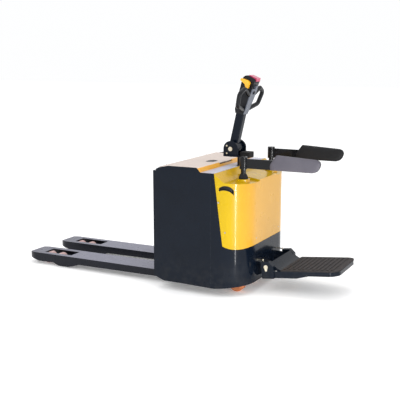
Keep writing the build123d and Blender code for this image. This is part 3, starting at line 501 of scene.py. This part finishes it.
slot_of = {part["node"]: part["material_slot"] for part in frame["record"]["subparts"]}
special = {"fork_left": "fork_paint", "fork_right": "fork_paint", "platform_mat": "mat_rubber",
           "guard_posts": "black_paint", "steering_column": "black_paint", "guard_arm_left": "black_paint",
           "guard_arm_right": "black_paint"}
soft_edge = {
    "hood": 0.006, "tiller_head": 0.005, "tiller_arm": 0.006, "tiller_base": 0.004, "battery_lid": 0.003,
    "throttle": 0.004, "belly_button": 0.004, "head_fascia": 0.0018, "lift_rocker": 0.002,
    "horn_button": 0.002, "guard_arm_left": 0.0015, "guard_arm_right": 0.0015, "platform_mat": 0.0012,
    "platform_frame": 0.0022, "hinge_caps": 0.0015, "fork_left": 0.0025, "fork_right": 0.0025,
    "side_panel_left": 0.0015, "side_panel_right": 0.0015, "rear_skirt": 0.0015}
usual_edge = 0.001


def finish_of(name):
    """The finish of a part: its own special one, or the one named by its slot in the record."""
    wanted = special.get(name, slot_of[name])
    return finishes[wanted if wanted in finishes else "guard_skin"]


def round_edges(part, width):
    """Rounds a part's sharp edges and shades it smoothly."""
    for face in part.data.polygons:
        face.use_smooth = True
    bevel = part.modifiers.new("rounded edges", "BEVEL")
    bevel.width = width
    bevel.segments = 3
    bevel.limit_method = "ANGLE"
    bevel.angle_limit = math.radians(35)
    bevel.use_clamp_overlap = True
    bevel.harden_normals = True


for name, part in nodes.items():
    part.data.materials.clear()
    part.data.materials.append(finish_of(name))
    round_edges(part, soft_edge.get(name, usual_edge))
print("dressed", len(nodes), "parts")

# %% [markdown]
# ## The padded side guards
#
# Each guard is a steel arm inside a foam pad with a grained skin. The skin is given a grey outside,
# which is painted light for its lit side, and a black towards the operator, which is painted shade. Foam
# is never flat, so the pad is built from rings: the outline is shrunk step by step towards its middle
# while the rings rise, first steeply, then gently, like a filled cushion. A subdivision surface turns
# the few rings into one smooth pillow. A cloth simulation could inflate two sheets instead, but stiff
# moulded foam keeps one simple shape, so rings are enough. Three close rings along the rim keep it
# firm, because that is where the outside and the inside are welded together.

# %% Padded guards
pad_outline = [(0.0, 0.0), (0.0, 0.036), (0.044, 0.096), (0.300, 0.082), (0.318, 0.073), (0.326, 0.055),
               (0.317, 0.028), (0.300, 0.009), (0.274, 0.0)]
pad_centre = (0.168, 0.043)
pad_crown = [(0.0, 1.0), (0.35, 0.98), (0.62, 0.93), (0.80, 0.85), (0.91, 0.68), (0.965, 0.42), (0.985, 0.16)]
pad_rim = [(0.995, 0.12), (1.0, 0.0), (0.995, -0.12)]


def dense(outline, step):
    """The same closed outline with a point at least every step metres."""
    points = []
    for a, b in zip(outline, outline[1:] + outline[:1]):
        count = max(1, round(math.dist(a, b) / step))
        points += [(a[0] + (b[0] - a[0]) * i / count, a[1] + (b[1] - a[1]) * i / count) for i in range(count)]
    return points


def mesh_piece(name, build):
    """A new smooth-shaded object from whatever the build function puts into a bmesh."""
    form = bmesh.new()
    build(form)
    bmesh.ops.recalc_face_normals(form, faces=form.faces)
    mesh = bpy.data.meshes.new(name)
    form.to_mesh(mesh)
    form.free()
    for face in mesh.polygons:
        face.use_smooth = True
    piece = bpy.data.objects.new(name, mesh)
    bpy.context.scene.collection.objects.link(piece)
    return piece


def pad_rings(form, box, outer):
    """The pad's rings, from the outer side's middle over the rim to the inner side's."""
    low, high = box
    half_thick, y_middle = (high[1] - low[1]) / 2, (high[1] + low[1]) / 2
    outline = dense(pad_outline, 0.012)
    rings = []
    for t, rise in pad_crown + pad_rim + [(t, -rise) for t, rise in reversed(pad_crown)]:
        y = y_middle + outer * rise * half_thick
        spots = [pad_centre] if t == 0 else [
            (pad_centre[0] + (x - pad_centre[0]) * t, pad_centre[1] + (z - pad_centre[1]) * t)
            for x, z in outline]
        rings.append([form.verts.new((low[0] + x, y, low[2] + z)) for x, z in spots])
    return rings


def pillow(form, box, outer):
    """A padded guard. outer is the sign of its outside in Y; skin 0, the outside, is the grey painted lit
    tone, and skin 1, the rest, is the black painted shade.
    """
    rings = pad_rings(form, box, outer)
    for level, (a, b) in enumerate(zip(rings, rings[1:])):
        count = max(len(a), len(b))
        for i in range(count):
            j = (i + 1) % count
            if len(a) == 1:
                face = form.faces.new((a[0], b[i], b[j]))
            elif len(b) == 1:
                face = form.faces.new((a[i], a[j], b[0]))
            else:
                face = form.faces.new((a[i], a[j], b[j], b[i]))
            # Index 0, the outside crown, takes the grey painted lit tone; index 1, rim and inside, the black
            # painted shade.
            face.material_index = 0 if level < len(pad_crown) - 1 else 1


for side, outer in (("left", 1), ("right", -1)):
    pad_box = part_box(f"guard_pad_{side}")
    pad = mesh_piece(f"padded_guard_{side}", lambda form: pillow(form, pad_box, outer))
    # Slot 0 is the grey painted lit tone, slot 1 the black painted shade.
    pad.data.materials.append(finishes["guard_skin"])
    pad.data.materials.append(finishes["guard_skin_inner"])
    smooth = pad.modifiers.new("smooth foam", "SUBSURF")
    smooth.levels = smooth.render_levels = 1
    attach(pad, f"guard_{side}")
    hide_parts(f"guard_pad_{side}")
    print("padded guard", side, len(pad.data.vertices), "vertices")

# %% [markdown]
# ## Small fittings
#
# A machine looks real through its small hardware: button-head screws beside the tiller's pivot, a dark
# liner in the lid's oval recess, and the return-spring pins over the platform's hinge. The finger slot
# gets a thin dark brown sheet as well, which is painted shade in the recess. Each is turned or swept
# from a short profile, because real fittings are turned or pressed the same way, and each rides on the
# body it is fastened to.

# %% Small fittings
def turned(form, profile, place, axis, steps=24):
    """Spins a profile of (radius, height) points round an axis through a place."""
    turn = Vector((0, 0, 1)).rotation_difference(Vector(axis)).to_matrix().to_4x4()
    put = Matrix.Translation(Vector(place)) @ turn
    rings = []
    for radius, rise in profile:
        angles = [2 * math.pi * i / steps for i in range(steps if radius else 1)]
        rings.append([form.verts.new(put @ Vector((radius * math.cos(a), radius * math.sin(a), rise)))
                      for a in angles])
    for a, b in zip(rings, rings[1:]):
        for i in range(steps):
            j = (i + 1) % steps
            corners = [a[i % len(a)], a[j % len(a)], b[j % len(b)], b[i % len(b)]]
            form.faces.new(list(dict.fromkeys(corners)))


def fitted(piece, body, finish):
    piece.data.materials.append(finishes[finish])
    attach(piece, body)
    print(piece.name, "rides on", body)


base_low, base_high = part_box("tiller_base")
screw_x = base_low[0] + 0.024
screw_rises = (0.022, 0.070)
screw_head = [(0, 0.0012), (0.0022, 0.0012), (0.0026, 0.0034), (0.0042, 0.0031), (0.0056, 0.0018),
              (0.006, 0.0), (0.0042, -0.0012)]


def cheek_screws(form):
    for y, out in ((base_low[1], -1), (base_high[1], 1)):
        for rise in screw_rises:
            turned(form, screw_head, (screw_x, y, base_low[2] + rise), (0, out, 0))


fitted(mesh_piece("cheek_screws", cheek_screws), "steering", "zinc")


def oval(centre, half_x, half_y, z, count=48):
    """Points of an oval whose straight sides run along Y."""
    points = []
    for i in range(count):
        a = 2 * math.pi * i / count
        shift = (half_y - half_x) * (1 if math.sin(a) >= 0 else -1)
        points.append((centre[0] + half_x * math.cos(a), centre[1] + shift + half_x * math.sin(a), z))
    return points


recess_from_edge, recess_y, recess_stretch = 0.182, -0.031, 0.016
recess_levels = [(0.0318, -0.0016), (0.0316, 0.0006), (0.029, 0.0009), (0.0265, -0.0002), (0.024, -0.0014),
                 (0.014, -0.0017)]


def lid_liner(form):
    """A thin dark cup with a rolled lip in the lid's oval recess."""
    low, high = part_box("battery_lid")
    centre = (low[0] + recess_from_edge, recess_y)
    rings = [[form.verts.new(p) for p in oval(centre, half, half + recess_stretch, high[2] + rise)]
             for half, rise in recess_levels]
    for a, b in zip(rings, rings[1:]):
        for i in range(len(a)):
            j = (i + 1) % len(a)
            form.faces.new((a[i], a[j], b[j], b[i]))
    form.faces.new(rings[-1])


fitted(mesh_piece("lid_recess_liner", lid_liner), "battery_lid", "black_plastic")


slot_half, slot_wide, slot_depth, slot_rib = 0.0945, 0.010, 0.0228, 0.0006


def build_slot_shade_sheet(form):
    """A shallow dark brown trough along the finger slot, painted shade in the recess, ribbed so that fingers
    hold.
    """
    low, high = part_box("lid_step")
    x, z = low[0] + 0.0005, high[2] - slot_depth
    section = [(x, z + 0.016), (x + slot_rib, z + 0.002), (x + 0.003, z), (x + slot_wide, z)]
    stations = 60
    rows = []
    for i in range(stations + 1):
        y = slot_half * (2 * i / stations - 1)
        rib = slot_rib * math.sin(i * math.pi / 2) ** 2
        rows.append([form.verts.new((x, y, z + rib)) for x, z in section])
    for a, b in zip(rows, rows[1:]):
        for i in range(len(section) - 1):
            form.faces.new((a[i], a[i + 1], b[i + 1], b[i]))


# The dark brown sheet in the finger slot is painted shade.
slot_shade_sheet = mesh_piece("finger_slot_painted_shade", build_slot_shade_sheet)
thick = slot_shade_sheet.modifiers.new("liner thickness", "SOLIDIFY")
thick.thickness = 0.0005
thick.offset = 1
fitted(slot_shade_sheet, "chassis", "slot_brown")


pin_profile = [(0, 0.044), (0.0058, 0.044), (0.0064, 0.0428), (0.0064, 0.0395), (0.0036, 0.0392),
               (0.0036, -0.002)]
pin_inset, pin_rise = 0.030, 0.016


def spring_pins(form):
    low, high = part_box("platform_bracket")
    for y in (low[1] + pin_inset, high[1] - pin_inset):
        turned(form, pin_profile, (low[0], y, high[2] + pin_rise), (1, 0, 0))


fitted(mesh_piece("return_spring_pins", spring_pins), "chassis", "zinc")
